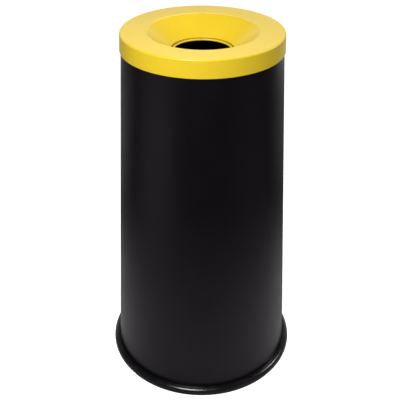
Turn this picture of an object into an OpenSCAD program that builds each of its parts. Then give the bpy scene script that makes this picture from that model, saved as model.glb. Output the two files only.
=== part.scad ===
// Flame-smothering waste can: a straight sheet steel drum on a rubber base ring, under a
// lift-off head whose funnel narrows to a fixed throat. Origin at the middle of the resting
// face, +Z up, millimetres. -Y is the front, and the drum's lap seam is at the back.

/* [Overall] */
// Height from the floor to the top of the head
total_h = 662; // [500:1:900]
// Outside diameter of the drum
body_d = 349; // [280:1:480]

/* [Head] */
// Sheet thickness of the head
head_t = 1; // [0.8:0.1:1.6]
// Height of the head's skirt
skirt_h = 38; // [24:1:60]
// Outside radius of the head's top edge
head_edge_r = 3.5; // [2:0.5:6]
// Height of the hem folded up inside the skirt
hem_h = 8; // [4:0.5:15]
// Gap between the hem and the skirt that it is folded against
hem_gap = 0.1; // [0.1:0.1:1]

/* [Funnel] */
// Width of the flat rim, from the head's outside to the crease at the funnel's mouth
rim_w = 57.5; // [40:0.5:70]
// Radius of the roll at the funnel's mouth
mouth_r = 14; // [5:1:18]
// Depth of the funnel from the flat rim to its crease above the throat's groove
funnel_drop = 38.5; // [25:0.5:60]
// Clear diameter of the throat
throat_d = 124; // [90:1:150]
// Inside radius of the bend from the funnel down into the groove
throat_r = 0.5; // [0.5:0.5:2]
// Width of the groove between the funnel and the throat's lip
groove_w = 2; // [1.5:0.5:4]
// Height of the groove's outer wall, from the crease to the middle of the groove's bend
groove_h = 5.5; // [4:0.5:10]
// Height of the lip's upright, from the groove's bend to the lip's rolled edge
lip_h = 1; // [0.5:0.5:3]
// Outside diameter of the lip's rolled edge
lip_d = 4; // [3:0.5:6]
// How far the lip's edge is rolled inwards and down, in degrees
lip_turn = 230; // [180:5:270]

/* [Drum] */
// Sheet thickness of the drum
body_t = 0.8; // [0.6:0.1:1.2]
// Diameter of the wire rolled into the drum's upper edge
rim_wire_d = 5; // [3:0.5:7]
// How far round the wire the edge is curled, in degrees
curl_turn = 285; // [200:5:300]
// Width of the overlap at the drum's seam
seam_w = 12; // [8:1:20]
// How far the rolled-down overlap stands out from the wall
seam_rise = 0.4; // [0.2:0.1:0.6]

/* [Bottom] */
// Sheet thickness of the bottom
pan_t = 0.8; // [0.6:0.1:1.2]
// Height of the bottom above the base ring
pan_clear = 13.5; // [8:0.5:30]
// Bend radius of the bottom sheet
pan_bend_r = 3; // [2:0.5:6]
// Width of the low gutter round the raised middle
gutter_w = 22; // [12:1:40]
// Height by which the middle of the bottom is raised
pan_rise = 4; // [3:0.5:6]

/* [Base ring] */
// How far the base ring stands out from the drum
ring_overhang = 11.5; // [8:0.5:16]
// Height of the base ring
ring_h = 11.5; // [11:0.5:20]
// Thickness of rubber under the drum's lower edge
ring_sole = 5; // [3:0.5:7]
// Thickness of the lip inside the drum
ring_lip_t = 3; // [2:0.5:5]
// Outside radius of the ring's upper edge
ring_top_r = 8; // [3:0.5:8]
// Outside radius of the ring's lower edge
ring_foot_r = 3; // [1:0.5:4]
// Rounding of the ring's upper edge where it meets the drum
ring_crevice_r = 1.5; // [0.5:0.5:2]

/* [Bag ring] */
// Diameter of the bag ring's wire
hoop_wire_d = 6; // [4:0.5:8]
// Height that the bag ring can be lifted while the head is on
hoop_travel = 40; // [30:1:80]
// Sheet thickness of the bag ring's brackets
bracket_t = 1.5; // [1:0.1:2]
// Width of each bracket
bracket_w = 25; // [15:1:40]
// Height of each bracket's leg above the bag ring
bracket_leg = 16; // [12:1:22]

/* [Fits] */
// Gap between the drum's seam and the hem in the head's skirt
head_fit = 0.5; // [0.4:0.1:3]
// Gap between the curled edge and its wire
wire_fit = 0.1; // [0.05:0.05:0.3]
// Gap between the bag ring and the curled edge that it lifts past
hoop_gap = 1.4; // [1:0.1:4]
// Gap left under the head when the bag ring is lifted up to it
hoop_headroom = 2; // [1:0.5:5]
// Gap round the bag ring where it lies in a bracket
cradle_fit = 0.3; // [0.1:0.1:0.6]

/* [Hidden] */

AROUND = 180;  // steps round the can's axis
ARC = 64;      // steps round a small circle
BEND_STEP = 7.5; // most degrees that a bent sheet turns between two edges

// Drum: outside and inside radius, and the height of its curled rim
body_r = body_d / 2;
bore_r = body_r - body_t;
rim_z = total_h - head_t;

// Curled edge: middle-line radius, and the wire's place
curl_r = rim_wire_d / 2 + wire_fit + body_t / 2;
curl_at = body_r - body_t / 2 - curl_r;
curl_z = rim_z - curl_r - body_t / 2;

// Head: middle lines of the skirt and the flat rim
head_r = body_r + seam_rise + head_fit + 2 * head_t + hem_gap;
skirt_mid = head_r - head_t / 2;
rim_mid_z = total_h - head_t / 2;
hem_r = (head_t + hem_gap) / 2;
hem_foot = total_h - skirt_h + head_t / 2 + hem_r;

// Throat: middle-line radii of its rolled lip, its groove and the groove's outer wall
lip_r = lip_d / 2 - head_t / 2;
groove_r = groove_w / 2 + head_t / 2;
groove_mid = throat_d / 2 + lip_d - head_t / 2 + 2 * groove_r;

// Funnel: its middle line runs from the mouth's crease down to the crease above the groove
mouth_mid = head_r - rim_w;
funnel_slope = atan2(funnel_drop, mouth_mid - groove_mid);
funnel_len = norm([funnel_drop, mouth_mid - groove_mid]);

// Bag ring: it lifts out inside the curled edge
hoop_r = curl_at - curl_r - body_t / 2 - hoop_gap - hoop_wire_d / 2;
hoop_z = rim_z - hoop_headroom - hoop_wire_d / 2 - hoop_travel;
cradle_r = hoop_wire_d / 2 + cradle_fit + bracket_t / 2;

// Slack taken up by a bend: the distance from its crease to where it starts
function setback(r, turn) = r * tan(abs(turn) / 2);

// Unit vector at an angle
function toward(a) = [cos(a), sin(a)];

// Places along the middle line of a sheet, each [point, heading]. The path is a list of
// straight lengths [len] and bends [radius, turn], which turn left where turn is positive.
function places(path, at = [0, 0], heading = 0, i = 0) =
    i == len(path) ? [[at, heading]] :
    let (step = path[i], straight = len(step) == 1, turn = straight ? 0 : step[1])
    straight ? concat([[at, heading]], places(path, at + step[0] * toward(heading), heading, i + 1)) :
    let (
        middle = at + step[0] * toward(heading + 90 * sign(turn)),
        parts = ceil(abs(turn) / BEND_STEP),
        after = function(k) let (h = heading + turn * k / parts)
            [middle + step[0] * toward(h - 90 * sign(turn)), h]
    )
    concat([for (k = [0:parts - 1]) after(k)], places(path, after(parts)[0], heading + turn, i + 1));

// Section of a sheet of thickness t, bent along a path that sets off from a point at a heading
module sheet(path, t, at, heading) {
    line = places(path, at, heading);
    last = len(line) - 1;
    side = function(p, way) p[0] + way * t / 2 * toward(p[1] + 90);
    polygon(concat([for (p = line) side(p, 1)], [for (k = [last:-1:0]) side(line[k], -1)]));
}

// Pressed head: from the hem inside the skirt, up, over the flat rim, down the funnel, through
// the groove and over the throat's lip
module funnel_head() {
    edge_mid = head_edge_r - head_t / 2;
    roll_mid = mouth_r - head_t / 2;
    bend_mid = throat_r + head_t / 2;
    throat_turn = 90 - funnel_slope;
    color("gold")
        rotate_extrude($fn = AROUND)
            sheet([
                [hem_h],
                [hem_r, 180],
                [rim_mid_z - hem_foot - edge_mid],
                [edge_mid, 90],
                [skirt_mid - mouth_mid - edge_mid - setback(roll_mid, funnel_slope)],
                [roll_mid, funnel_slope],
                [funnel_len - setback(roll_mid, funnel_slope) - setback(bend_mid, throat_turn)],
                [bend_mid, throat_turn],
                [groove_h - setback(bend_mid, throat_turn)],
                [groove_r, -180],
                [lip_h],
                [lip_r, lip_turn]
            ], head_t, [skirt_mid - 2 * hem_r, hem_foot + hem_h], -90);
}

// Rolled wall with its curled upper edge, and the outer layer of the lap seam
module drum_shell() {
    seam_turn = 2 * asin(seam_w / 2 / body_r);
    color([0.08, 0.08, 0.085]) union() {
        rotate_extrude($fn = AROUND)
            sheet([[curl_z - ring_sole], [curl_r, curl_turn]], body_t,
                [body_r - body_t / 2, ring_sole], 90);
        rotate([0, 0, 90 - seam_turn / 2])
            rotate_extrude(angle = seam_turn, $fn = AROUND)
                translate([body_r - body_t / 2, ring_h + 1])
                    square([body_t / 2 + seam_rise, curl_z - ring_h - 1]);
    }
}

module rim_wire() {
    color("dimgray")
        rotate_extrude($fn = AROUND)
            translate([curl_at, curl_z]) circle(d = rim_wire_d, $fn = ARC);
}

// Dished bottom: its flange lines the foot of the drum, and its middle is raised
module bottom_pan() {
    flange_mid = bore_r - pan_t / 2;
    step_turn = 40;
    step_len = pan_rise / sin(step_turn);
    gutter = gutter_w - setback(pan_bend_r, step_turn);
    middle = flange_mid - pan_bend_r - gutter_w - pan_rise / tan(step_turn)
        - setback(pan_bend_r, step_turn);
    color([0.1, 0.1, 0.105])
        rotate_extrude($fn = AROUND)
            sheet([
                [ring_h + pan_clear - ring_sole - pan_bend_r],
                [pan_bend_r, 90],
                [gutter],
                [pan_bend_r, -step_turn],
                [step_len - 2 * setback(pan_bend_r, step_turn)],
                [pan_bend_r, step_turn],
                [middle]
            ], pan_t, [flange_mid, ring_sole], 90);
}

// What is cut away to round an outside corner. The arc's centre is the origin.
module corner_waste(r) difference() { square(2 * r); circle(r, $fn = ARC); }

// Rubber ring: the lower edges of the drum and the bottom stand in its groove
module base_ring() {
    inner_r = bore_r - pan_t - ring_lip_t;
    outer_r = body_r + ring_overhang;
    top_r = min(ring_top_r, ring_overhang - ring_crevice_r, ring_h - ring_foot_r);
    color([0.05, 0.05, 0.055])
        rotate_extrude($fn = AROUND)
            difference() {
                translate([inner_r, 0]) square([outer_r - inner_r, ring_h]);
                translate([bore_r - pan_t, ring_sole]) square([body_t + pan_t, ring_h]);
                translate([outer_r - top_r, ring_h - top_r]) corner_waste(top_r);
                translate([outer_r - ring_foot_r, ring_foot_r])
                    mirror([0, 1]) corner_waste(ring_foot_r);
                translate([body_r + ring_crevice_r, ring_h - ring_crevice_r])
                    mirror([1, 0]) corner_waste(ring_crevice_r);
            }
}

// Plain wire hoop that the bag is folded over
module bag_ring() {
    color("silver")
        rotate_extrude($fn = AROUND)
            translate([hoop_r, hoop_z]) circle(d = hoop_wire_d, $fn = ARC);
}

// Hook welded to the inside of the drum at the given angle round the axis
module bag_bracket(angle) {
    leg_mid = bore_r - bracket_t / 2;
    shelf_z = hoop_z - cradle_r;
    turn_r = bracket_t * 1.5;
    span = 2 * asin(bracket_w / 2 / bore_r);
    rotate([0, 0, angle - span / 2])
        rotate_extrude(angle = span, $fn = AROUND)
            sheet([
                [hoop_z + bracket_leg - shelf_z - turn_r],
                [turn_r, -90],
                [leg_mid - turn_r - hoop_r],
                [cradle_r, -90],
                [hoop_wire_d / 4]
            ], bracket_t, [leg_mid, hoop_z + bracket_leg], -90);
}

module bag_bracket_front() { color([0.09, 0.09, 0.095]) bag_bracket(270); }
module bag_bracket_left() { color([0.09, 0.09, 0.095]) bag_bracket(150); }
module bag_bracket_right() { color([0.09, 0.09, 0.095]) bag_bracket(30); }

funnel_head();
drum_shell();
rim_wire();
bottom_pan();
base_ring();
bag_ring();
bag_bracket_front();
bag_bracket_left();
bag_bracket_right();
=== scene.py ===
import math

import bpy
from mathutils import Matrix, Vector


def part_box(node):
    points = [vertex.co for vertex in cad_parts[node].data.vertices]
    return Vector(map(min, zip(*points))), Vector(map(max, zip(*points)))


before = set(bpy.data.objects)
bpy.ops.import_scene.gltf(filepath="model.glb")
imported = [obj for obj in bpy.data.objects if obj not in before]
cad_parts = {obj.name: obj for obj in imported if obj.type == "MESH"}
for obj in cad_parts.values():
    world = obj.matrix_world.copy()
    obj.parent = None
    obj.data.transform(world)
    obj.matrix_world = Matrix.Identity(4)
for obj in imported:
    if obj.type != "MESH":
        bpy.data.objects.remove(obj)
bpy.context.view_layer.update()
scene = bpy.context.scene
scene.view_settings.view_transform = "Standard"


# ---------------------------------------------------------------- camera A view camera's front:
# the image plane stands almost upright while the lens looks down, so the can's sides stay
# parallel, as in the photograph. A parent with a sheared matrix does that.
CAMERA_AT = Vector((0.0, -1.6979, 1.2261))
LOOKS_AT = Vector((-0.0041, 0.0, 0.2890))
FOCAL_MM = 80.95
PLANE_LEAN = math.radians(2.96)     # how far the image plane leans forward from upright
PLANE_ROLL = math.radians(0.277)


def make_camera():
    data = bpy.data.cameras.new("view_camera")
    data.lens, data.sensor_width = FOCAL_MM, 36.0
    data.clip_start, data.clip_end = 0.05, 60.0
    cam = bpy.data.objects.new("view_camera", data)
    scene.collection.objects.link(cam)
    rise = Vector((0.0, math.sin(PLANE_LEAN), math.cos(PLANE_LEAN)))
    right = math.cos(PLANE_ROLL) * Vector((1, 0, 0)) + math.sin(PLANE_ROLL) * rise
    up = math.cos(PLANE_ROLL) * rise - math.sin(PLANE_ROLL) * Vector((1, 0, 0))
    back = (CAMERA_AT - LOOKS_AT).normalized()
    sheared = Matrix((right, up, back)).transposed().to_4x4()
    sheared.translation = CAMERA_AT
    stand = bpy.data.objects.new("camera_front", None)
    scene.collection.objects.link(stand)
    cam.parent = stand
    cam.matrix_parent_inverse = sheared
    scene.camera = cam


# ---------------------------------------------------------------- node helpers
def empty_tree(owner):
    owner.use_nodes = True
    owner.node_tree.nodes.clear()
    return owner.node_tree


def add(tree, kind, operation=None, **inputs):
    """A node of that kind with its inputs set, by name (_ for a space) or by number (_0 for the
    first). A socket is linked, and a number or colour is set."""
    made = tree.nodes.new(kind)
    if operation:
        made.operation = operation
    for key, value in inputs.items():
        slot = int(key[1:]) if key[1:].isdigit() else key.replace("_", " ")
        fill(tree, made.inputs[slot], value)
    return made


def fill(tree, socket, value):
    if isinstance(value, bpy.types.NodeSocket):
        tree.links.new(value, socket)
    else:
        socket.default_value = value


def math_node(tree, operation, *values):
    made = tree.nodes.new("ShaderNodeMath")
    made.operation = operation
    for socket, value in zip(made.inputs, values):
        fill(tree, socket, value)
    return made.outputs[0]


def ramp(tree, value, start, end, low=0.0, high=1.0):
    """low where value is at start, high at end, and a smooth change between."""
    made = tree.nodes.new("ShaderNodeMapRange")
    made.interpolation_type = "SMOOTHSTEP"
    for name, number in (("From Min", start), ("From Max", end), ("To Min", low), ("To Max", high)):
        made.inputs[name].default_value = number
    fill(tree, made.inputs["Value"], value)
    return made.outputs["Result"]


def mix_colour(tree, factor, first, second):
    """first where factor is 0, second where it is 1. A Mix node's colour sockets have numbers."""
    made = tree.nodes.new("ShaderNodeMix")
    made.data_type = "RGBA"
    fill(tree, made.inputs[0], factor)
    fill(tree, made.inputs[6], first)
    fill(tree, made.inputs[7], second)
    return made.outputs[2]


def noise(tree, where, scale, detail=2.0, roughness=0.5):
    made = tree.nodes.new("ShaderNodeTexNoise")
    tree.links.new(where, made.inputs["Vector"])
    made.inputs["Scale"].default_value = scale
    made.inputs["Detail"].default_value = detail
    made.inputs["Roughness"].default_value = roughness
    return made.outputs["Fac"]


def bump(tree, height, distance, under=None):
    made = tree.nodes.new("ShaderNodeBump")
    made.inputs["Distance"].default_value = distance
    tree.links.new(height, made.inputs["Height"])
    if under is not None:
        tree.links.new(under, made.inputs["Normal"])
    return made.outputs["Normal"]


# ---------------------------------------------------------------- studio
PAPER = 0.9                 # how much light the floor paper returns
PAPER_GLOW = 0.85           # lifts the paper to white where the camera sees it
PAPER_BOUNCE = 0.60         # how much the paper returns to the object
FLOOR_HALF = 14.0           # metres, half the paper's width

# Wedges of light on the paper, as the gloss mirrors them: the direction from the can's front
# towards its right, the half width, both in radians, and the strength
WEDGES = ((-1.05, 0.60, 0.50), (1.10, 0.60, 0.13), (-2.6, 1.0, 0.48), (2.6, 1.0, 0.25))
FAR_WEDGES = ((-2.95, 0.60, 1.5), (2.75, 0.95, 1.8))


def floor_mirrored(tree):
    """How bright the paper is in the object's gloss: a pool of light near the can that fades out
    quickly, with a soft wedge of light on the left, a weaker one on the right, and light far
    behind the can, which gives the head's skirt its pale edges."""
    place = tree.nodes.new("ShaderNodeTexCoord").outputs["Object"]
    away = add(tree, "ShaderNodeVectorMath", "LENGTH", _0=place).outputs["Value"]
    way = add(tree, "ShaderNodeVectorMath", "NORMALIZE", _0=place).outputs["Vector"]

    def wedge(azimuth, half_width, strength):
        """strength in the direction azimuth, and 0 beyond half_width on either side."""
        middle = (math.sin(azimuth), -math.cos(azimuth), 0.0)
        facing = add(tree, "ShaderNodeVectorMath", "DOT_PRODUCT", _0=way, _1=middle).outputs["Value"]
        return ramp(tree, facing, math.cos(half_width), 1.0, 0.0, strength)

    light = 0.0
    for place_and_strength in WEDGES:
        light = math_node(tree, "ADD", wedge(*place_and_strength), light)
    light = math_node(tree, "MULTIPLY_ADD", light, ramp(tree, away, 0.5, 1.3, 0.3, 1.0), 0.01)
    far = ramp(tree, away, 1.56, 1.8)
    for place_and_strength in FAR_WEDGES:
        light = math_node(tree, "ADD", math_node(tree, "MULTIPLY", wedge(*place_and_strength), far), light)
    sideways = math_node(tree, "ABSOLUTE", add(tree, "ShaderNodeSeparateXYZ", Vector=way).outputs["X"])
    near = math_node(tree, "MULTIPLY_ADD", sideways, ramp(tree, away, 0.2, 0.75, 0.19, 0.0),
                     ramp(tree, away, 0.2, 0.85, 0.38, 0.0))
    return math_node(tree, "MAXIMUM", near, light)


def make_floor():
    mesh = bpy.data.meshes.new("floor")
    corners = ((-1, -1), (1, -1), (1, 1), (-1, 1))
    mesh.from_pydata([(FLOOR_HALF * x, FLOOR_HALF * y, 0) for x, y in corners], [], [(0, 1, 2, 3)])
    floor = bpy.data.objects.new("floor", mesh)
    scene.collection.objects.link(floor)
    mat = bpy.data.materials.new("floor_paper")
    mat.cycles.emission_sampling = "NONE"
    tree = empty_tree(mat)
    ray = tree.nodes.new("ShaderNodeLightPath")
    white = add(tree, "ShaderNodeBsdfDiffuse", Color=(PAPER, PAPER, PAPER, 1)).outputs[0]
    glow = add(tree, "ShaderNodeEmission", Strength=PAPER_GLOW).outputs[0]
    seen = add(tree, "ShaderNodeAddShader", _0=white, _1=glow).outputs[0]
    mirrored = math_node(tree, "MULTIPLY", ray.outputs["Is Glossy Ray"], floor_mirrored(tree))
    bounced = math_node(tree, "MULTIPLY", ray.outputs["Is Diffuse Ray"], PAPER_BOUNCE)
    share = math_node(tree, "ADD", mirrored, bounced)
    returned = add(tree, "ShaderNodeBsdfDiffuse", Color=share).outputs[0]
    both = add(tree, "ShaderNodeMixShader", _0=ray.outputs["Is Camera Ray"], _1=returned, _2=seen)
    add(tree, "ShaderNodeOutputMaterial", Surface=both.outputs[0])
    mesh.materials.append(mat)


def soft_box(name, at, aim, size, watts):
    data = bpy.data.lights.new(name, "AREA")
    data.shape, data.size, data.size_y = "RECTANGLE", size[0], size[1]
    data.energy = watts
    lamp = bpy.data.objects.new(name, data)
    scene.collection.objects.link(lamp)
    lamp.location = at
    lamp.rotation_mode = "QUATERNION"
    lamp.rotation_quaternion = (Vector(aim) - Vector(at)).to_track_quat("-Z", "Y")
    lamp.visible_camera = False


def make_world():
    """White where the camera sees it. As light, a dim room with a bright wall behind the can."""
    world = bpy.data.worlds.new("studio")
    scene.world = world
    tree = empty_tree(world)
    way = tree.nodes.new("ShaderNodeTexCoord").outputs["Generated"]
    parts = add(tree, "ShaderNodeSeparateXYZ", Vector=way)
    back, up = parts.outputs["Y"], parts.outputs["Z"]
    wall = math_node(tree, "MULTIPLY", ramp(tree, back, 0.55, 0.92, 0.0, 0.83), ramp(tree, up, 0.60, 0.26))
    above_floor = ramp(tree, up, 0.02, 0.24, 0.3, 1.0)
    light = math_node(tree, "MULTIPLY_ADD", wall, above_floor, ramp(tree, up, 0.2, 0.8, 0.18, 0.05))
    ray = tree.nodes.new("ShaderNodeLightPath").outputs["Is Camera Ray"]
    strength = math_node(tree, "MAXIMUM", ray, light)
    sky = add(tree, "ShaderNodeBackground", Color=(1, 1, 1, 1), Strength=strength)
    add(tree, "ShaderNodeOutputWorld", Surface=sky.outputs[0])


def make_studio():
    make_floor()
    make_world()
    soft_box("key", at=(-0.32, -1.00, 1.52), aim=(0, 0, 0.55), size=(0.6, 0.6), watts=22)
    soft_box("back", at=(0.1, 1.4, 2.2), aim=(0, 0, 0.66), size=(1.0, 1.0), watts=10)
    soft_box("side", at=(1.30, 0.35, 1.10), aim=(0, 0, 0.5), size=(0.35, 0.5), watts=7)


# ---------------------------------------------------------------- materials
# Places on the can that wear, the painted shade in the groove and welds follow, in metres
HEAD_LOW, HEAD_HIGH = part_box("funnel_head")
SKIRT_FOOT, HEAD_TOP = HEAD_LOW[2], HEAD_HIGH[2]
HEAD_RADIUS = HEAD_HIGH[0]
FLAT_RIM = 0.0575                           # width of the head's flat rim
MOUTH_RADIUS = HEAD_RADIUS - FLAT_RIM
THROAT_RADIUS = 0.062
GROOVE_RADIUS, GROOVE_TOP = 0.067, HEAD_TOP - 0.039
WELD_PITCH, WELD_SPOT = 0.030, 0.0026       # distance between spot welds, and their radius

# Heights of the finest relief, in metres
PEEL_DEPTH, GRAIN_DEPTH, WELD_DEPTH = 0.000013, 0.000004, 0.00010
DIE_LINE_DEPTH, PORE_DEPTH = 0.000012, 0.00001
DRAWN_LINE_DEPTH, PIT_DEPTH = 0.00001, 0.000008

YELLOW, SHADED_YELLOW = (0.83, 0.585, 0.020), (0.812, 0.570, 0.019)
BLACK, SHADED_BLACK = (0.0046, 0.0036, 0.0050), (0.0036, 0.0029, 0.0038)
INSIDE_BLACK, SHADED_INSIDE = (0.0062, 0.0056, 0.0065), (0.0048, 0.0044, 0.0050)
# painted shade: the colour of the dark line painted in the groove round the throat's lip
PAINTED_GROOVE_SHADE = (0.10, 0.058, 0.008)
RUBBER_BLACK, DUST = (0.0052, 0.0049, 0.0058), (0.055, 0.053, 0.050)
STEEL, ZINC, STAIN = (0.45, 0.45, 0.46), (0.62, 0.62, 0.64), (0.26, 0.24, 0.22)
BLACK_GLOSS_TINT = (1.0, 0.84, 1.0)         # the black paint's gloss is faintly purple


def surface(name):
    """A material with a Principled shader, and the object's own coordinates in metres."""
    mat = bpy.data.materials.new(name)
    tree = empty_tree(mat)
    shader = tree.nodes.new("ShaderNodeBsdfPrincipled")
    add(tree, "ShaderNodeOutputMaterial", Surface=shader.outputs[0])
    place = tree.nodes.new("ShaderNodeTexCoord").outputs["Object"]
    return mat, tree, shader, place


def stretched(tree, place, across, along):
    """The coordinates scaled by across on the level and by along in height, so that a noise on
    them has detail of that many to the metre and runs upright."""
    scale = (across, across, along)
    return add(tree, "ShaderNodeVectorMath", "MULTIPLY", _0=place, _1=scale).outputs["Vector"]


def cylinder_places(tree, place):
    """Distance from the can's axis, angle round it from the back, and height."""
    parts = add(tree, "ShaderNodeSeparateXYZ", Vector=place)
    x, y, z = (parts.outputs[name] for name in "XYZ")
    flat = add(tree, "ShaderNodeCombineXYZ", X=x, Y=y).outputs[0]
    radius = add(tree, "ShaderNodeVectorMath", "LENGTH", _0=flat).outputs["Value"]
    return radius, math_node(tree, "ARCTAN2", x, y), z


def band(tree, value, middle, half_width):
    """1 where value is at middle, and 0 beyond half_width on either side."""
    off = math_node(tree, "ABSOLUTE", math_node(tree, "SUBTRACT", value, middle))
    return ramp(tree, off, 0.0, half_width, 1.0, 0.0)


def product(tree, *values):
    total = values[0]
    for value in values[1:]:
        total = math_node(tree, "MULTIPLY", total, value)
    return total


def scuffs(tree, place):
    """Faint hairline scuffs in patches, mostly upright."""
    fibres = noise(tree, stretched(tree, place, across=900, along=108), 1.0, 3, 0.6)
    patches = ramp(tree, noise(tree, place, 21, 2), 0.48, 0.66)
    return product(tree, band(tree, fibres, 0.5, 0.012), patches, 0.4)


def powder_coat(name, colour, shade, rough, rubbed=None, painted_shade=None, relief=None, gloss_tint=(1, 1, 1)):
    """Sprayed and baked paint: orange peel, a slightly uneven gloss, faint mottling, hairline
    scuffs and a few specks. rubbed, the shade mask and relief are functions of the tree and the
    place: the paint is duller where rubbed is near 1, darkened with painted shade where the shade
    mask is, and relief gives a bump's height and depth."""
    mat, tree, shader, place = surface(name)
    shader.inputs["Specular Tint"].default_value = (*gloss_tint, 1)
    mottle = ramp(tree, noise(tree, place, 14, 3), 0.3, 0.7)
    tint = mix_colour(tree, mottle, (*shade, 1), (*colour, 1))
    specks = ramp(tree, noise(tree, place, 420, 2, 0.6), 0.74, 0.80)
    worn = scuffs(tree, place)
    if rubbed:
        worn = math_node(tree, "MAXIMUM", worn, rubbed(tree, place))
    dulled = [0.78 * c + 0.010 for c in colour]
    speck = [0.6 * c for c in shade]
    tint = mix_colour(tree, math_node(tree, "MULTIPLY", worn, 0.35), tint, (*dulled, 1))
    tint = mix_colour(tree, math_node(tree, "MULTIPLY", specks, 0.3), tint, (*speck, 1))
    # painted shade: the groove round the throat's lip is darkened in the colour
    if painted_shade:
        tint = mix_colour(tree, painted_shade(tree, place), tint, (*PAINTED_GROOVE_SHADE, 1))
    tree.links.new(tint, shader.inputs["Base Color"])
    patches = ramp(tree, noise(tree, place, 32, 3), 0.25, 0.75, rough - 0.015, rough + 0.015)
    gloss = math_node(tree, "MULTIPLY_ADD", worn, 0.10, patches)
    tree.links.new(gloss, shader.inputs["Roughness"])
    orange_peel = noise(tree, place, 650, 2)
    grain = noise(tree, place, 3200, 1)
    fine = bump(tree, grain, GRAIN_DEPTH, bump(tree, orange_peel, PEEL_DEPTH))
    if relief:
        height, depth = relief(tree, place)
        fine = bump(tree, height, depth, fine)
    tree.links.new(fine, shader.inputs["Normal"])
    return mat


def rubbed_edges(tree, place):
    """Where hands, rags and the head's lifting rub the head: its edges, its mouth and its throat."""
    radius, _, height = cylinder_places(tree, place)
    patches = ramp(tree, noise(tree, place, 60, 3, 0.6), 0.40, 0.68)
    foot = band(tree, height, SKIRT_FOOT, 0.003)
    shoulder = product(tree, ramp(tree, radius, HEAD_RADIUS - 0.006, HEAD_RADIUS - 0.002),
                       ramp(tree, height, HEAD_TOP - 0.006, HEAD_TOP - 0.002))
    rubbed = math_node(tree, "MAXIMUM", foot, shoulder)
    for edge_radius, reach in ((MOUTH_RADIUS, 0.008), (THROAT_RADIUS, 0.004)):
        rubbed = math_node(tree, "MAXIMUM", rubbed, band(tree, radius, edge_radius, reach))
    return product(tree, patches, rubbed)


def groove_painted_shade(tree, place):
    """Painted shade: an uneven dark line painted into the colour in the groove round the throat's lip."""
    radius, _, height = cylinder_places(tree, place)
    uneven = ramp(tree, noise(tree, place, 70, 3, 0.6), 0.3, 0.7, 0.55, 0.9)
    low = ramp(tree, height, GROOVE_TOP - 0.0015, GROOVE_TOP, 1.0, 0.0)
    return product(tree, band(tree, radius, GROOVE_RADIUS, 0.0022), low, uneven)


def spot_welds(tree, place):
    """The relief of shallow dimples along the drum's lap seam, and of the sheet's rolling grain."""
    radius, around, height = cylinder_places(tree, place)
    along = add(tree, "ShaderNodeMath", "PINGPONG", _0=height, _1=WELD_PITCH / 2).outputs[0]
    across = math_node(tree, "MULTIPLY", around, radius)
    spot = add(tree, "ShaderNodeCombineXYZ", X=along, Y=across).outputs[0]
    off = add(tree, "ShaderNodeVectorMath", "LENGTH", _0=spot).outputs["Value"]
    dimple = ramp(tree, off, WELD_SPOT * 0.6, WELD_SPOT)
    grain = noise(tree, stretched(tree, place, across=260, along=9), 1.0, 2)
    return math_node(tree, "MULTIPLY_ADD", grain, 0.10, dimple), WELD_DEPTH


def round_the_can(tree, place, share):
    """Coordinates for lines that run round the can: a noise on them changes slowly round the axis,
    by share metres to the radian."""
    radius, around, height = cylinder_places(tree, place)
    slowly = math_node(tree, "MULTIPLY", around, share)
    return add(tree, "ShaderNodeCombineXYZ", X=radius, Y=slowly, Z=height).outputs[0]


def rubber(name):
    """Extruded and cured rubber: fine lines round the ring from the die, a bloom and a little dust."""
    mat, tree, shader, place = surface(name)
    height = cylinder_places(tree, place)[2]
    lines = noise(tree, round_the_can(tree, place, 0.01), 1400, 2)
    bloom = ramp(tree, noise(tree, place, 38, 4, 0.6), 0.45, 0.75)
    patches = ramp(tree, noise(tree, place, 220, 3), 0.4, 0.6)
    foot_dust = product(tree, ramp(tree, height, 0.0, 0.004, 1.0, 0.0), patches, 0.2)
    dust = math_node(tree, "MAXIMUM", math_node(tree, "MULTIPLY", bloom, 0.10), foot_dust)
    tint = mix_colour(tree, dust, (*RUBBER_BLACK, 1), (*DUST, 1))
    tree.links.new(tint, shader.inputs["Base Color"])
    uneven = ramp(tree, noise(tree, place, 60, 3), 0.3, 0.7, 0.16, 0.26)
    tree.links.new(math_node(tree, "MULTIPLY_ADD", dust, 0.5, uneven), shader.inputs["Roughness"])
    pores = bump(tree, noise(tree, place, 900, 2), PORE_DEPTH)
    tree.links.new(bump(tree, lines, DIE_LINE_DEPTH, pores), shader.inputs["Normal"])
    return mat


def wire(name, colour, rough, crystals):
    """Drawn wire: lines along its run from the die, and a mottled oxide or zinc surface with that
    many crystals to the metre."""
    mat, tree, shader, place = surface(name)
    shader.inputs["Metallic"].default_value = 1.0
    drawn = noise(tree, round_the_can(tree, place, 0.004), 2600, 2)
    cells = add(tree, "ShaderNodeTexVoronoi", Vector=place, Scale=crystals)
    spangle = add(tree, "ShaderNodeSeparateXYZ", Vector=cells.outputs["Color"]).outputs["X"]
    stain = ramp(tree, noise(tree, place, 90, 4, 0.6), 0.5, 0.72)
    dull = [0.78 * c for c in colour]
    tint = mix_colour(tree, spangle, (*dull, 1), (*colour, 1))
    tint = mix_colour(tree, math_node(tree, "MULTIPLY", stain, 0.35), tint, (*STAIN, 1))
    tree.links.new(tint, shader.inputs["Base Color"])
    uneven = math_node(tree, "MULTIPLY_ADD", spangle, 0.08, rough - 0.04)
    tree.links.new(math_node(tree, "MULTIPLY_ADD", stain, 0.12, uneven), shader.inputs["Roughness"])
    pits = bump(tree, noise(tree, place, 1200, 2), PIT_DEPTH)
    tree.links.new(bump(tree, drawn, DRAWN_LINE_DEPTH, pits), shader.inputs["Normal"])
    return mat


# ---------------------------------------------------------------- the CAD pieces
MERGE_WITHIN = 1e-6         # metres
SHARPEST_BEND = math.radians(13)


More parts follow.
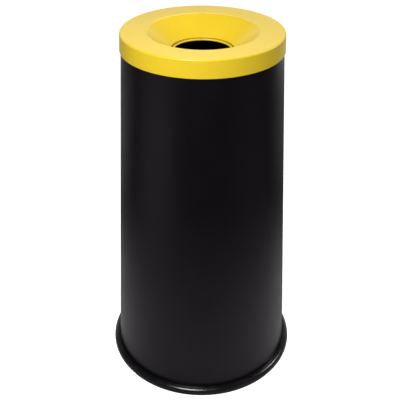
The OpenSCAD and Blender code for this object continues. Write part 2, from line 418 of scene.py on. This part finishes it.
def smoothing_group():
    """Marks edges sharp where the sheet turns by more than SHARPEST_BEND, and smooth elsewhere."""
    group = bpy.data.node_groups.new("smooth_bends", "GeometryNodeTree")
    for way in ("INPUT", "OUTPUT"):
        group.interface.new_socket("Geometry", in_out=way, socket_type="NodeSocketGeometry")
    shape = group.nodes.new("NodeGroupInput").outputs[0]
    shape = add(group, "GeometryNodeRemoveAttribute", _0=shape, Name="custom_normal").outputs[0]
    shape = add(group, "GeometryNodeMergeByDistance", _0=shape, Distance=MERGE_WITHIN).outputs[0]
    shape = add(group, "GeometryNodeSetShadeSmooth", _0=shape).outputs[0]
    turn = group.nodes.new("GeometryNodeInputMeshEdgeAngle").outputs["Unsigned Angle"]
    bent = add(group, "FunctionNodeCompare", _0=turn, _1=SHARPEST_BEND).outputs[0]
    # the first round clears the sharp edges that came with the mesh, and the second marks the bends
    for edges, is_smooth in ((True, True), (bent, False)):
        step = add(group, "GeometryNodeSetShadeSmooth", _0=shape, Selection=edges, Shade_Smooth=is_smooth)
        step.domain = "EDGE"
        shape = step.outputs[0]
    add(group, "NodeGroupOutput", _0=shape)
    return group


def dress(nodes, mat, group):
    """Gives those CAD nodes a material and smooth bends. Their meshes stay as they are."""
    for node in nodes:
        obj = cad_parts[node]
        obj.data.materials.clear()
        obj.data.materials.append(mat)
        obj.modifiers.new("smooth_bends", "NODES").node_group = group
        even = obj.modifiers.new("even_normals", "WEIGHTED_NORMAL")
        even.keep_sharp = True


def dress_all():
    bends = smoothing_group()
    # the head's paint carries painted shade in the groove round its throat
    head = powder_coat("head_paint", YELLOW, SHADED_YELLOW, rough=0.34, rubbed=rubbed_edges,
                       painted_shade=groove_painted_shade)
    drum = powder_coat("drum_paint", BLACK, SHADED_BLACK, rough=0.34, relief=spot_welds,
                       gloss_tint=BLACK_GLOSS_TINT)
    dress(["funnel_head"], head, bends)
    dress(["drum_shell"], drum, bends)
    dress(["bottom_pan"], powder_coat("pan_paint", INSIDE_BLACK, SHADED_INSIDE, rough=0.45), bends)
    dress(["bag_bracket_front", "bag_bracket_left", "bag_bracket_right"],
          powder_coat("bracket_paint", INSIDE_BLACK, SHADED_INSIDE, rough=0.40), bends)
    dress(["base_ring"], rubber("ring_rubber"), bends)
    dress(["rim_wire"], wire("rim_wire_steel", STEEL, rough=0.35, crystals=500), bends)
    dress(["bag_ring"], wire("bag_ring_steel", ZINC, rough=0.26, crystals=320), bends)


make_camera()
make_studio()
dress_all()
